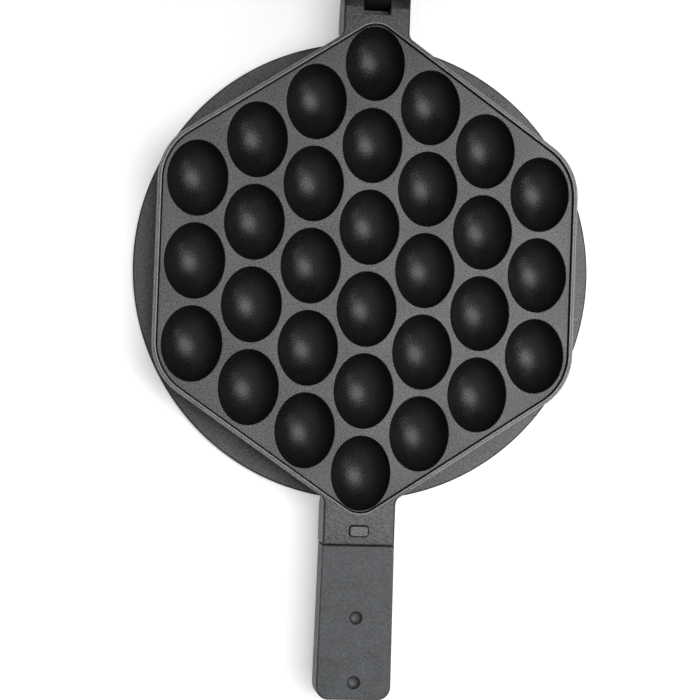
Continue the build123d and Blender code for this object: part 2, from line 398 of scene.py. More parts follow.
def rectangle(width: float, length: float, centre: Sequence[float], radius: float) -> Path:
    """Rounded rectangle.

    Args:
        width: its size along X.
        length: its size along Y.
        centre: its plan centre.
        radius: radius of its corners.

    Returns:
        The closed path.
    """
    half = np.array([width, length]) / 2
    corners = np.array([(-1, -1), (1, -1), (1, 1), (-1, 1)]) * half + np.asarray(centre)
    return rounded_polygon(corners, [radius] * 4)


def lathe(profile: np.ndarray, segments: int, origin: Sequence[float], along: str) -> Shell:
    """Closed solid of revolution.

    A profile point (radius, distance) goes to radius x (cos, sin) of the turn angle, at that distance
    along the axis.

    Args:
        profile: closed loop of (radius, distance) pairs, or an open one that starts and ends at radius 0.
        segments: number of steps in the turn.
        origin: a point on the axis.
        along: the axis, "X" or "Z".

    Returns:
        The solid, facing outwards.
    """
    turn = np.linspace(0, 2 * math.pi, segments, endpoint=False)
    solid = profile[:, 0].min() <= 0
    rings = profile[1:-1] if solid else profile
    radius, distance = rings[:, 0, None], np.broadcast_to(rings[:, 1, None], (len(rings), segments))
    u, v = radius * np.cos(turn), radius * np.sin(turn)
    grid = np.stack([u, v, distance], axis=-1)
    parts = [grid_shell(grid, closed_rows=not solid)]
    if solid:
        parts.append(pole_shell(grid[0], np.array([0.0, 0.0, profile[0, 1]])).flipped())
        parts.append(pole_shell(grid[-1], np.array([0.0, 0.0, profile[-1, 1]])))
    shell = joined(parts)
    points = shell.points if along == "Z" else shell.points[:, [2, 0, 1]]
    return shell.moved(points + np.asarray(origin)).outward()


def make_object(name: str, shell: Shell) -> Piece:
    """Makes a mesh object in metres from a surface in millimetres.

    Args:
        name: the object's name.
        shell: the surface.

    Returns:
        The linked object, with its doubled points merged.
    """
    mesh = bpy.data.meshes.new(name)
    mesh.vertices.add(len(shell.points))
    mesh.vertices.foreach_set("co", (shell.points * MM).astype(np.float32).ravel())
    loops = np.concatenate([shell.quads.ravel(), shell.tris.ravel()]).astype(np.int32)
    sizes = np.concatenate([np.full(len(shell.quads), 4), np.full(len(shell.tris), 3)])
    mesh.loops.add(len(loops))
    mesh.loops.foreach_set("vertex_index", loops)
    mesh.polygons.add(len(sizes))
    mesh.polygons.foreach_set("loop_start", (np.cumsum(sizes) - sizes).astype(np.int32))
    mesh.update(calc_edges=True)
    made = bpy.data.objects.new(name, mesh)
    bpy.context.scene.collection.objects.link(made)
    weld(made)
    return made


def bake_modifiers(piece: Piece) -> None:
    """Replaces the piece's mesh by what its modifiers make of it, and removes them."""
    graph = bpy.context.evaluated_depsgraph_get()
    mesh = bpy.data.meshes.new_from_object(piece.evaluated_get(graph))
    piece.modifiers.clear()
    piece.data = mesh


def weld(piece: Piece) -> None:
    """Merges points that lie in the same place."""
    modifier = piece.modifiers.new("weld", "WELD")
    modifier.merge_threshold = 0.002 * MM
    bake_modifiers(piece)


def combine(piece: Piece, shell: Shell, how: Cut) -> None:
    """Joins a closed solid to a piece or cuts it out of it.

    Args:
        piece: the object that changes.
        shell: the solid, facing either way.
        how: joins or removes.
    """
    other = make_object("other", shell.outward())
    modifier = piece.modifiers.new("cut", "BOOLEAN")
    modifier.operation = how.value
    modifier.solver = "MANIFOLD"
    modifier.object = other
    bake_modifiers(piece)
    bpy.data.objects.remove(other)


def own_points(piece: Piece) -> np.ndarray:
    """Places of the piece's vertices in millimetres, array (n, 3)."""
    points = np.zeros(len(piece.data.vertices) * 3, np.float32)
    piece.data.vertices.foreach_get("co", points)
    return points.reshape(-1, 3) / MM


def mark(piece: Piece, name: str, share: np.ndarray) -> None:
    """Stores a share for each vertex as an attribute that the finishes read."""
    values = piece.data.attributes.new(name, "FLOAT", "POINT").data
    values.foreach_set("value", share.astype(np.float32))


def stand_open(piece: Piece, sizes: HalfSizes) -> None:
    """Turns a finished mesh over and opens it to the lid's place."""
    turn = sizes.lid_matrix()
    turn.translation *= MM
    piece.data.transform(turn)


def shade(piece: Piece) -> None:
    """Smooth shading with creases where faces meet at over 32 degrees, and normals weighted by face area."""
    mesh = piece.data
    mesh.polygons.foreach_set("use_smooth", np.ones(len(mesh.polygons), bool))
    mesh.set_sharp_from_angle(angle=math.radians(32.0))
    weighted = piece.modifiers.new("weighted", "WEIGHTED_NORMAL")
    weighted.keep_sharp = True
    weighted.weight = 100


def dress(piece: Piece, material: bpy.types.Material) -> None:
    """Gives a piece its only material."""
    piece.data.materials.clear()
    piece.data.materials.append(material)


def place(piece: Piece, body: Body, slot: str, material: bpy.types.Material, node: str) -> None:
    """Dresses a finished piece, ties it to its body and hides the solid that it stands for.

    Args:
        piece: the piece.
        body: the body that it rides on.
        slot: its material slot in the record; not used.
        material: its finish.
        node: the solid's name.
    """
    dress(piece, material)
    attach(piece, body.value)
    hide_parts(node)
    LOG.info("%s: %d points, for %s", piece.name, len(piece.data.vertices), node)


class NodeSheet:
    """Short way to write the nodes of a new material or world."""

    def __init__(self, owner: "bpy.types.Material | bpy.types.World") -> None:
        """Gives the owner its nodes and finds its shader, which is Principled or Background."""
        owner.use_nodes = True
        self.tree = owner.node_tree
        self.shader = self.tree.nodes.get("Principled BSDF") or self.tree.nodes["Background"]

    def feed(self, target: Socket, value: object) -> None:
        """Links another node's output to an input, or sets the input to a plain value."""
        if isinstance(value, Socket):
            self.tree.links.new(value, target)
        else:
            target.default_value = value

    def surface(self, **values: object) -> None:
        """Feeds the shader's inputs, which are named with underscores for spaces."""
        for key, value in values.items():
            self.feed(self.shader.inputs[key.replace("_", " ")], value)

    def add(self, kind: str, **values: object) -> bpy.types.Node:
        """Adds a node and gives it its settings.

        Args:
            kind: the node's type, without the ShaderNode prefix.
            values: attributes by their own name, and inputs by name with underscores for spaces.

        Returns:
            The node.
        """
        node = self.tree.nodes.new("ShaderNode" + kind)
        for key, value in values.items():
            if hasattr(node, key):
                setattr(node, key, value)
            else:
                self.feed(node.inputs[key.replace("_", " ")], value)
        return node

    def noise(self, scale: float, detail: float, roughness: float = 0.5) -> Socket:
        """Noise over Object coordinates, in features per metre."""
        place = self.add("TexCoord").outputs["Object"]
        node = self.add("TexNoise", Vector=place, Scale=scale, Detail=detail, Roughness=roughness)
        return node.outputs["Fac"]

    def spread(self, value: Socket, span: Pair, result: tuple[object, object]) -> Socket:
        """Maps a value from one span onto another and keeps it inside.

        Args:
            value: the output to map.
            span: the values that give the two ends of the result.
            result: the ends themselves, as numbers or outputs.

        Returns:
            The mapped output.
        """
        node = self.add("MapRange", Value=value, From_Min=span[0], From_Max=span[1],
                        To_Min=result[0], To_Max=result[1])
        return node.outputs["Result"]

    def maths(self, kind: str, a: object, b: object) -> Socket:
        """One sum on two numbers or outputs."""
        node = self.add("Math", operation=kind)
        self.feed(node.inputs[0], a)
        self.feed(node.inputs[1], b)
        return node.outputs["Value"]

    def mix(self, share: Socket, a: object, b: object) -> Socket:
        """Mixes two colours.

        Args:
            share: 0 for the first colour and 1 for the second.
            a: the first, as a colour or an output.
            b: the second.

        Returns:
            The mixed colour.
        """
        node = self.add("Mix", data_type="RGBA")
        sockets = {socket.identifier: socket for socket in (*node.inputs, *node.outputs)}
        self.feed(sockets["Factor_Float"], share)
        for key, value in (("A_Color", a), ("B_Color", b)):
            self.feed(sockets[key], value if isinstance(value, Socket) else (*value, 1.0))
        return sockets["Result_Color"]

    def bump(self, height: Socket, distance: float, strength: float) -> None:
        """Raises the surface by a height, distance metres at full height."""
        node = self.add("Bump", Height=height, Distance=distance, Strength=strength)
        self.surface(Normal=node.outputs["Normal"])

    def attribute(self, name: str) -> Socket:
        """Value of a mesh attribute."""
        return self.add("Attribute", attribute_name=name).outputs["Fac"]


@dataclass(frozen=True)
class CastCoat:
    """Grey coat on the castings: satin and speckled, with painted shade in its cavities, crevices and dark
    places, and a painted highlight on the lip and key.

    Where the painted shade and highlight lie comes from the casting's own attributes: bowl, painted_shade and
    edge, each from 0 to 1. The spans are values of the noise, which stays near 0.5.
    """

    name: str = "cast_coat"
    dark: Colour = (0.028, 0.029, 0.029)
    light: Colour = (0.138, 0.139, 0.139)
    # Cavity colours, darker than the land: painted shade.
    bowl_shade_dark: Colour = (0.008, 0.008, 0.009)
    bowl_shade_light: Colour = (0.021, 0.021, 0.022)
    # Near black colour of the painted shade on the hinge, ears, groove, key's foot, ring's rim and neck
    # edges.
    painted_shade: Colour = (0.004, 0.004, 0.005)
    # Pale colour of the painted highlight on the lip and key.
    highlight_colour: Colour = (0.34, 0.34, 0.34)
    # Metallic goes to 1 under the painted shade, so that those places reflect almost nothing: a painted dark
    # reflection.
    metallic: Pair = (0.35, 1.0)
    roughness: Pair = (0.42, 0.28)
    painted_shade_roughness: float = 0.3
    bowl_grain: float = 0.75
    fine_scale: float = 1400.0
    broad_scale: float = 45.0
    speckle_span: Pair = (0.36, 0.66)
    cloud_span: Pair = (0.3, 0.7)
    cloud: float = 0.12
    highlight_span: Pair = (0.3, 0.6)
    painted_highlight: Pair = (0.3, 0.8)
    rough_grain: float = 0.07
    relief: float = 0.0002

    def material(self) -> bpy.types.Material:
        """Builds the node material."""
        material = bpy.data.materials.new(self.name)
        sheet = NodeSheet(material)
        fine, broad = sheet.noise(self.fine_scale, 5.0, 0.7), sheet.noise(self.broad_scale, 3.0)
        bowl, painted_shade, edge = (sheet.attribute(name) for name in ("bowl", "painted_shade", "edge"))
        amount = sheet.maths("ADD", sheet.spread(fine, self.speckle_span, (0.0, 1.0)),
                             sheet.spread(broad, self.cloud_span, (-self.cloud, self.cloud)))
        # Painted shade: the cavities take darker colours than the land.
        coat = sheet.mix(bowl, sheet.mix(amount, self.dark, self.light),
                         sheet.mix(amount, self.bowl_shade_dark, self.bowl_shade_light))
        # Painted highlight: the edge attribute mixes in a pale colour.
        painted_highlight = sheet.maths("MULTIPLY", edge, sheet.spread(fine, self.highlight_span, self.painted_highlight))
        flat = sheet.spread(bowl, (0.0, 1.0), (1.0, self.bowl_grain))
        grain = sheet.spread(fine, self.cloud_span, (-self.rough_grain, self.rough_grain))
        rough = sheet.maths("ADD", sheet.spread(bowl, (0.0, 1.0), self.roughness),
                            sheet.maths("MULTIPLY", grain, flat))
        # Painted shade: where the painted_shade attribute lies, the colour goes near black, metallic to 1 and
        # roughness up.
        sheet.surface(
            Base_Color=sheet.mix(painted_shade, sheet.mix(painted_highlight, coat, self.highlight_colour), self.painted_shade),
            Roughness=sheet.maths("ADD", rough, sheet.maths("MULTIPLY", painted_shade, self.painted_shade_roughness)),
            Metallic=sheet.spread(painted_shade, (0.0, 1.0), self.metallic),
        )
        sheet.bump(sheet.maths("MULTIPLY", fine, flat), self.relief, 0.8)
        return material


@dataclass(frozen=True)
class Phenolic:
    """Grey moulded grip: matt, with a fine grain and a broader mottle.

    The grip's attribute brow, from 0 to 1, says where painted shade darkens it.
    """

    name: str = "phenolic"
    dark: Colour = (0.026, 0.029, 0.031)
    light: Colour = (0.103, 0.109, 0.117)
    # Colour of the painted shade along the face's edges and in the dimples.
    shade_paint: Colour = (0.008, 0.009, 0.010)
    roughness: Pair = (0.42, 0.62)
    fine_scale: float = 900.0
    mottle_scale: float = 160.0
    fine_span: Pair = (0.3, 0.7)
    fine_share: Pair = (0.0, 0.8)
    mottle_span: Pair = (0.32, 0.68)
    mottle_share: Pair = (-0.08, 0.28)
    relief: float = 0.0002

    def material(self) -> bpy.types.Material:
        """Builds the node material."""
        material = bpy.data.materials.new(self.name)
        sheet = NodeSheet(material)
        fine, mottle = sheet.noise(self.fine_scale, 5.0, 0.7), sheet.noise(self.mottle_scale, 4.0, 0.6)
        amount = sheet.maths("ADD", sheet.spread(fine, self.fine_span, self.fine_share),
                             sheet.spread(mottle, self.mottle_span, self.mottle_share))
        clean = sheet.mix(amount, self.dark, self.light)
        # Painted shade: the brow attribute mixes in the dark colour.
        sheet.surface(
            Base_Color=sheet.mix(sheet.attribute("brow"), clean, self.shade_paint),
            Roughness=sheet.spread(mottle, self.fine_span, self.roughness),
        )
        sheet.bump(fine, self.relief, 0.8)
        return material


@dataclass(frozen=True)
class Metal:
    """Small turned or pressed metal piece with fine tool marks, a quarter darker in their hollows."""

    name: str
    colour: Colour
    roughness: float = 0.34
    marks_scale: float = 2600.0
    marks_span: Pair = (0.3, 0.7)
    rough_grain: float = 0.08
    relief: float = 0.00003

    def material(self) -> bpy.types.Material:
        """Builds the node material."""
        material = bpy.data.materials.new(self.name)
        sheet = NodeSheet(material)
        marks = sheet.noise(self.marks_scale, 3.0)
        darker = tuple(0.75 * c for c in self.colour)
        rough = (self.roughness - self.rough_grain, self.roughness + self.rough_grain)
        sheet.surface(
            Base_Color=sheet.mix(sheet.spread(marks, self.marks_span, (0.0, 1.0)), darker, self.colour),
            Roughness=sheet.spread(marks, self.marks_span, rough),
            Metallic=1.0,
        )
        sheet.bump(marks, self.relief, 0.5)
        return material


@dataclass(frozen=True)
class ShadePaint:
    """How dark the painted shade makes each place on a casting, from 0 to 1, and its reach in millimetres."""

    hinge: float = 0.9
    ears: float = 0.65
    ear_start: float = 1.2
    ear_fade: float = 3.5
    ear_rise: float = 3.0
    groove: float = 0.8
    moat: float = 0.85
    moat_reach: float = 0.5
    brow: float = 0.5
    brow_start: float = 10.0
    rim: float = 0.45
    rim_reach: float = 0.75
    bowl_fade: float = 0.6


@dataclass(frozen=True)
class PaintedHighlight:
    """How pale the painted highlight makes the lip and the key, from 0 to 1, and over what widths in
    millimetres.
    """

    crest: float = 1.0
    brow: float = 0.8
    top: float = 0.12
    key: float = 0.25
    width: float = 0.25
    fade: float = 0.15
    neck_reach: float = 18.5


@dataclass
class HalfCasting:
    """One cast half: plate with cavities, lip and groove, skirt, base ring and both necks."""

    sizes: HalfSizes = HalfSizes()
    finish: CastCoat = CastCoat()
    # Amounts of painted shade and painted highlight on the coat.
    shade_paint: ShadePaint = ShadePaint()
    painted_highlight: PaintedHighlight = PaintedHighlight()
    rim_steps: int = 64
    bowl_rings: int = 16
    bump_steps: int = 48
    bump_rings: int = 9
    ring_steps: int = 192
    side_pieces: int = 6
    long_chord: float = 10.0
    edge_r: float = 0.5
    neck_edge_r: float = 0.8
    ring_edge_r: float = 0.9
    end_r: float = 0.9
    bar_edge_r: float = 0.4
    slot_edge_r: float = 0.35
    heel_edge_r: float = 0.3
    crest_r: float = 0.3
    key_edge_r: Pair = (0.2, 0.35)
    groove_corner: Pair = (0.12, 0.15)
    land_break: float = 0.04
    rim_roll: Pair = (0.05, 0.35)
    rim_clear: float = 0.08
    rim_tilt: float = 3.6
    skirt_sink: float = 0.5
    key_sink: float = 1.5
    block_sink: float = 3.0
    sunk: float = 0.12
    moat: Pair = (0.45, 0.35)
    moat_mouth: Pair = (0.15, 0.1)
    socket_mouth: Pair = (0.3, 0.2)

    def outline(self) -> Path:
        """Rounded hexagon on the groove's line.

        Its six sides lie at one distance from the centre; the sides' normals are at 0 and +-slant degrees
        and their opposites. Straight stretches get points between their ends.

        Returns:
            The closed path.
        """
        s = self.sizes
        side_y = s.groove_half * math.tan(math.radians(s.slant_normal / 2))
        apex_y = s.groove_half / math.sin(math.radians(s.slant_normal))
        right = np.array([(s.groove_half, -side_y), (s.groove_half, side_y), (0.0, apex_y)])
        radii = [s.side_corner_r, s.side_corner_r, s.apex_r] * 2
        return self.filled_straights(rounded_polygon(np.vstack([right, -right]), radii, steps=16))

    def filled_straights(self, path: Path) -> Path:
        """Divides each long chord of a path into equal pieces.

        Args:
            path: a closed path.

        Returns:
            The same path with more points.
        """
        step = np.roll(path.points, -1, axis=0) - path.points
        turn = np.roll(path.normals, -1, axis=0) - path.normals
        counts = np.where(np.linalg.norm(step, axis=1) > self.long_chord, self.side_pieces, 1)
        chord = np.repeat(np.arange(len(counts)), counts)
        first = np.repeat(np.cumsum(counts) - counts, counts)
        share = ((np.arange(len(chord)) - first) / counts[chord])[:, None]
        return Path(path.points[chord] + share * step[chord], path.normals[chord] + share * turn[chord])

    def side_profile(self) -> np.ndarray:
        """Section from the plate's underside round the skirt, the lip and the groove to the land.

        Returns:
            Array of offset from the groove's line and height.
        """
        s = self.sizes
        inner, outer = s.lip_offset - s.skirt_wall, s.lip_offset
        half, floor = s.groove_width / 2, s.land_z - s.groove_depth
        r, crest_r, flat = self.edge_r, self.crest_r, self.painted_highlight.width
        foot_z = s.ring_thickness - self.skirt_sink + r
        across, up = self.groove_corner
        inside = [(inner, s.underside_z), (inner, foot_z)]
        foot = arc((inner + r, foot_z), r, 180, 270, 3).tolist()[1:]
        foot += arc((outer - r, foot_z), r, 270, 360, 3).tolist()
        lip = arc((outer - r, s.face_z - r), r, 0, 90, 5).tolist() + [(outer - r - flat, s.face_z)]
        crest = [(half + crest_r + flat, s.face_z)]
        crest += arc((half + crest_r, s.face_z - crest_r), crest_r, 90, 180, 4).tolist()
        groove = [(half, floor + up), (half - across, floor), (-half + across, floor), (-half, floor + up)]
        land = [(-half, s.land_z - self.land_break), (-half - self.land_break, s.land_z)]
        return np.array(inside + foot + lip + crest + groove + land)

    def rim_rolls(self) -> np.ndarray:
        """Width of each cavity's rolled rim, less where the cavity nearly meets the groove.

        A cavity reaches c.n + sqrt((half_x nx)^2 + (half_y ny)^2) along a side's normal n from centre c.

        Returns:
            Array with one width for each cavity.
        """
        s = self.sizes
        normals = np.abs(spokes(0, s.slant_normal, 1))
        centres = np.abs(s.cavity_centres())
        reach = centres @ normals.T + np.linalg.norm(normals * (s.cavity_half_x, s.cavity_half_y), axis=1)
        slack = s.groove_half - s.groove_width / 2 - self.rim_clear - reach.max(axis=1)
        return np.clip(slack, *self.rim_roll)

    @staticmethod
    def rings(centre: np.ndarray, reach: np.ndarray, heights: np.ndarray, steps: int) -> Shell:
        """Surface through level ellipses about one centre, the last of them shrunk to a pole.

        Args:
            centre: plan position.
            reach: half axes of each ellipse, array (n, 2).
            heights: array of n heights.
            steps: number of points round an ellipse.

        Returns:
            The surface, facing up where the rings go inwards.
        """
        loop = spokes(0, 360, steps)[:-1]
        plan = centre + loop[None] * reach[:, None]
        height = np.broadcast_to(heights[:, None, None], plan.shape[:2] + (1,))
        rings = np.concatenate([plan, height], axis=2)
        return joined([grid_shell(rings[:-1]), pole_shell(rings[-2], rings[-1, 0])])

    def bowl(self, centre: np.ndarray, roll: float) -> Shell:
        """One cavity: a rolled rim and the egg (half_x cos t, half_y cos t, land - half_x sin t).

        Args:
            centre: plan position.
            roll: width of the rim.

        Returns:
            The surface, facing up.
        """
        s = self.sizes
        axes = np.array([s.cavity_half_x, s.cavity_half_y])
        turn = np.radians(np.linspace(0, 90, EDGE_STEPS + 1))
        tilt = np.radians(np.linspace(self.rim_tilt, 90, self.bowl_rings))
        reach = np.vstack([axes + roll * (1 - np.sin(turn))[:, None], axes * np.cos(tilt)[:, None]])
        drop = np.concatenate([roll * (1 - np.cos(turn)), s.cavity_half_x * np.sin(tilt)])
        return self.rings(centre, reach, s.land_z - drop, self.rim_steps)

    def bump_span(self) -> tuple[np.ndarray, np.ndarray, np.ndarray]:
        """Sizes of the level rings of a bump, from the plate's underside down to its pole.

        Returns:
            Half axes of the grown egg, each ring's share of them, and each ring's depth below the land.
        """
        s = self.sizes
        axes = np.array([s.cavity_half_x, s.cavity_half_y]) + s.bump_wall
        lean = np.linspace(math.asin(s.plate_thickness / axes[0]), math.pi / 2, self.bump_rings)
        return axes, np.cos(lean), axes[0] * np.sin(lean)

    def bump(self, centre: np.ndarray) -> Shell:
        """One bump: the egg grown by the wall, from the plate's underside down."""
        axes, shares, drop = self.bump_span()
        return self.rings(centre, axes * shares[:, None], self.sizes.land_z - drop, self.bump_steps)

    def plate(self) -> Shell:
        """Closed solid of plate, cavities, bumps, lip, groove and skirt.

        Returns:
            The shell, facing outwards.
        """
        s = self.sizes
        outline, profile = self.outline(), self.side_profile()
        centres, rolls = s.cavity_centres(), self.rim_rolls()
        loop, root = spokes(0, 360, self.rim_steps)[:-1], spokes(0, 360, self.bump_steps)[:-1]
        reach = np.array([s.cavity_half_x, s.cavity_half_y])
        rims = [centre + loop * (reach + roll) for centre, roll in zip(centres, rolls)]
        land = flat_fill(outline.at(profile[-1, 0]), rims, s.land_z)
        axes, shares, _ = self.bump_span()
        roots = [centre + root * axes * shares[0] for centre in centres]
        under = flat_fill(outline.at(profile[0, 0]), roots, s.underside_z).flipped()
        bowls = [self.bowl(centre, roll) for centre, roll in zip(centres, rolls)]
        bumps = [self.bump(centre).flipped() for centre in centres]
        return joined([outline.carried(profile), land, under, *bowls, *bumps]).outward()

    def base_ring(self) -> Shell:
        """Flat ring with rounded edges, turned about the vertical axis."""
        s = self.sizes
        top, edge, r = s.ring_thickness, self.ring_edge_r, self.bar_edge_r
        outside = edge_profile(0.0, top, edge, edge) + (s.ring_outer_r, 0)
        inner = s.ring_inner_r + r
        inside = [arc((inner, top - r), r, 90, 180, 3), arc((inner, r), r, 180, 270, 3)]
        return lathe(np.vstack([outside, *inside]), self.ring_steps, (0, 0, 0), "Z")

    def flare_centre(self, width: float) -> Pair:
        """Place of the concave arc between a neck's right side and the hexagon's slanted side.

        Args:
            width: the neck's width at the face.

        Returns:
            The plan centre of the arc.
        """
        s = self.sizes
        slant = math.radians(s.slant_normal)
        x = width / 2 + s.neck_fillet
        wall = s.groove_half + s.lip_offset - self.sunk
        return x, (wall + s.neck_fillet - x * math.cos(slant)) / math.sin(slant)

    def neck_path(self, width: float, end: float) -> Path:
        """Plan of a neck towards +Y.

        Each side starts on the slanted side of the hexagon, turns through a concave arc that is tangent to
        it and to the neck, and runs straight to the end. The path closes inside the lip.

        Args:
            width: the neck's width at the face.
            end: how far along Y it reaches.

        Returns:
            The path; the points that close it have no normal, so they stay where they are.
        """
        s = self.sizes
        slant = spokes(s.slant_normal, s.slant_normal, 0)[0]
        side, r = width / 2, self.end_r
        flare = arc(self.flare_centre(width), s.neck_fillet, 180 + s.slant_normal, 180, 10)
        right = np.vstack([flare, arc((side - r, end - r), r, 0, 90, 4)])
        right_normals = np.vstack([-spokes(180 + s.slant_normal, 180, 10), spokes(0, 90, 4)])
        mirror = np.array([-1.0, 1.0])
        middle = s.groove_width / 2 + s.lip_width / 3
        lip = self.outline().at(middle)
        near = (np.abs(lip[:, 0]) < flare[0, 0] - 1) & (lip[:, 1] > 0)
        inner = lip[near][np.argsort(lip[near][:, 0])]
        start = flare[0] - (s.lip_offset - self.sunk - middle) * slant
        closing = np.vstack([start * mirror, inner, start])
        return Path(np.vstack([right, right[::-1] * mirror, closing]),
                    np.vstack([right_normals, right_normals[::-1] * mirror, np.zeros_like(closing)]))

    def drafted(self, block: Shell, share: np.ndarray) -> Shell:
        """Moves each point along X by share x depth below the face x tan(draft).

        Args:
            block: the shell to lean.
            share: array with one number for each point, from -1 to 1.

        Returns:
            The leaning shell.
        """
        s = self.sizes
        shift = share * (s.face_z - block.points[:, 2]) * math.tan(math.radians(s.neck_draft))
        return block.moved(block.points + np.outer(shift, (1.0, 0.0, 0.0)))

    def neck(self, width: float, end: float, towards_hinge: bool) -> Shell:
        """Block of one neck with rounded edges, whose sides widen away from the face.

        Args:
            width: its width at the face.
            end: how far it reaches from the plate's centre.
            towards_hinge: it points to +Y, and otherwise to -Y.

        Returns:
            The closed block.
        """
        s = self.sizes
        rounded = edge_profile(s.face_z - s.neck_thickness, s.face_z, self.edge_r, self.neck_edge_r)
        block = self.neck_path(width, end).block(rounded)
        flare = s.neck_fillet * math.sin(math.radians(s.slant_normal))
        along = np.clip((block.points[:, 1] - self.flare_centre(width)[1]) / flare + 1, 0, 1)
        block = self.drafted(block, along * np.sign(block.points[:, 0]))
        return block.moved(block.points * ((1, 1, 1) if towards_hinge else (-1, -1, 1)))

    def ear(self, side: int) -> Shell:
        """One ear of the fork: the hull of two circles, carried along X from the slot to the drafted side.

        Args:
            side: 1 for the right ear and -1 for the left one.

        Returns:
            The closed ear.
        """
        s = self.sizes
        root, barrel, root_r = (s.ear_root_y, s.hinge_z), (s.hinge_y, s.hinge_z), s.neck_thickness / 2
        touch = math.degrees(math.acos((root_r - s.ear_r) / (s.hinge_y - s.ear_root_y)))
        inside = s.slot_root_y - self.block_sink
        outline = np.vstack([
            arc(barrel, s.ear_r, -touch, touch, 24), arc(root, root_r, touch, 90, 3),
            [(inside, s.face_z), (inside, s.face_z - s.neck_thickness)], arc(root, root_r, -90, -touch, 3),
        ])
        normals = np.vstack([
            spokes(-touch, touch, 24), spokes(touch, 90, 3), [(0, 1), (0, -1)], spokes(-90, -touch, 3),
        ])
        low, high = s.slot_width / 2, s.hinge_neck_width / 2
        block = Path(outline, normals).block(edge_profile(low, high, self.slot_edge_r, self.neck_edge_r))
        block = block.moved(block.points[:, [2, 0, 1]])
        block = self.drafted(block, (block.points[:, 0] > (low + high) / 2).astype(float))
        return block.moved(block.points * (side, 1, 1))

    def tang(self) -> Shell:
        """Flat bar inside the grip."""
        s = self.sizes
        start = s.grip_neck_end - self.block_sink
        length = s.tang_end - start
        path = rectangle(s.tang_width, length, (0, -(start + length / 2)), 2.0)
        edge = self.bar_edge_r
        return path.block(edge_profile(s.tang_top_z - s.tang_thickness, s.tang_top_z, edge, edge))

    def bar(self, x_half: float, y: float, z: float, radius: float, edge: float = 0.0) -> Shell:
        """Round bar along X.

        Args:
            x_half: half of its length.
            y: place of its axis.
            z: height of its axis.
            radius: its radius.
            edge: radius of the round at its ends.

        Returns:
            The closed bar.
        """
        rim = arc((radius - edge, x_half - edge), edge, 0, 90, 4) if edge else np.array([(radius, x_half)])
        profile = np.vstack([[(0.0, -x_half)], (rim * (1, -1))[::-1], rim, [(0.0, x_half)]])
        return lathe(profile, 64, (0, y, z), "X")

    def well(self, size: Sequence[float], corner_r: float, depth: float, mouth: Pair) -> Shell:
        """Cutter for a rounded rectangular well in the grip neck's face, at the key's place.

        Args:
            size: its sizes along X and Y.
            corner_r: radius of its plan's corners.
            depth: how far it goes below the face.
            mouth: width and depth of the flare at its top.

        Returns:
            The closed cutter, which ends over the face.
        """
        s = self.sizes
        wide, deep = mouth
        heights = (s.face_z - depth, s.face_z - deep, s.face_z + 0.05, s.face_z + 1)
        return rectangle(*size, (0, s.key_y), corner_r).block(np.column_stack([(0, 0, wide, wide), heights]))

    def shared(self, name: str, hinge_end: float) -> Piece:
        """The half without what differs between the lower half and the lid.

        Args:
            name: the piece's name.
            hinge_end: how far the neck at the hinge reaches.

        Returns:
            The unfinished casting.
        """
        s = self.sizes
        piece = make_object(name, self.plate())
        necks = [(s.hinge_neck_width, hinge_end, True), (s.grip_neck_width, s.grip_neck_end, False)]
        for block in [self.base_ring(), self.tang(), *(self.neck(*neck) for neck in necks)]:
            combine(piece, block, Cut.JOIN)
        hole = np.array([(0.0, 0.0), (s.tang_hole_r, 0.0), (s.tang_hole_r, s.face_z), (0.0, s.face_z)])
        for y in s.screw_ys:
            combine(piece, lathe(hole, 32, (0, -y, 0), "Z"), Cut.REMOVE)
        return piece

    def lower(self) -> Piece:
        """Lower half: fork, bore and locating key."""
        s = self.sizes
        piece = self.shared("lower_plate_casting", s.slot_root_y)
        for side in (-1, 1):
            combine(piece, self.ear(side), Cut.JOIN)
        combine(piece, self.bar(s.hinge_neck_width, s.hinge_y, s.hinge_z, s.ear_bore_r), Cut.REMOVE)
        width, depth = self.moat
        size = [side + 2 * width for side in s.key_size]
        combine(piece, self.well(size, s.key_corner_r + width, depth, self.moat_mouth), Cut.REMOVE)
        key = rectangle(*s.key_size, (0, s.key_y), s.key_corner_r)
        rounded = edge_profile(s.face_z - self.key_sink, s.face_z + s.key_rise, *self.key_edge_r)
        combine(piece, key.block(rounded), Cut.JOIN)
        return self.finished(piece, Body.LOWER)

    def tongue(self) -> Shell:
        """Tongue in the half's own frame: a side outline of web and barrel, carried across the width.

        Returns:
            The closed tongue.
        """
        s = self.sizes
        over = 2 * s.mating_z
        barrel_z, top = over - s.hinge_z, over - s.tongue_top
        front, back = s.hinge_y - s.tongue_r, s.hinge_y + s.tongue_r
        root = front - s.tongue_root_length
        outline = np.vstack([
            arc((s.hinge_y, barrel_z), s.tongue_r, 0, 180, 20),
            [(front, s.face_z), (root, s.face_z), (root, top)],
            arc((back - s.tongue_r, top + s.tongue_r), s.tongue_r, 270, 360, 8),
        ])
        along = np.roll(outline, -1, axis=0) - np.roll(outline, 1, axis=0)
        normals = np.column_stack([along[:, 1], -along[:, 0]])
        normals /= np.linalg.norm(normals, axis=1)[:, None]
        half = s.tongue_width / 2
        block = Path(outline, normals).block(edge_profile(-half, half, self.bar_edge_r, self.bar_edge_r))
        return block.moved(block.points[:, [2, 0, 1]])

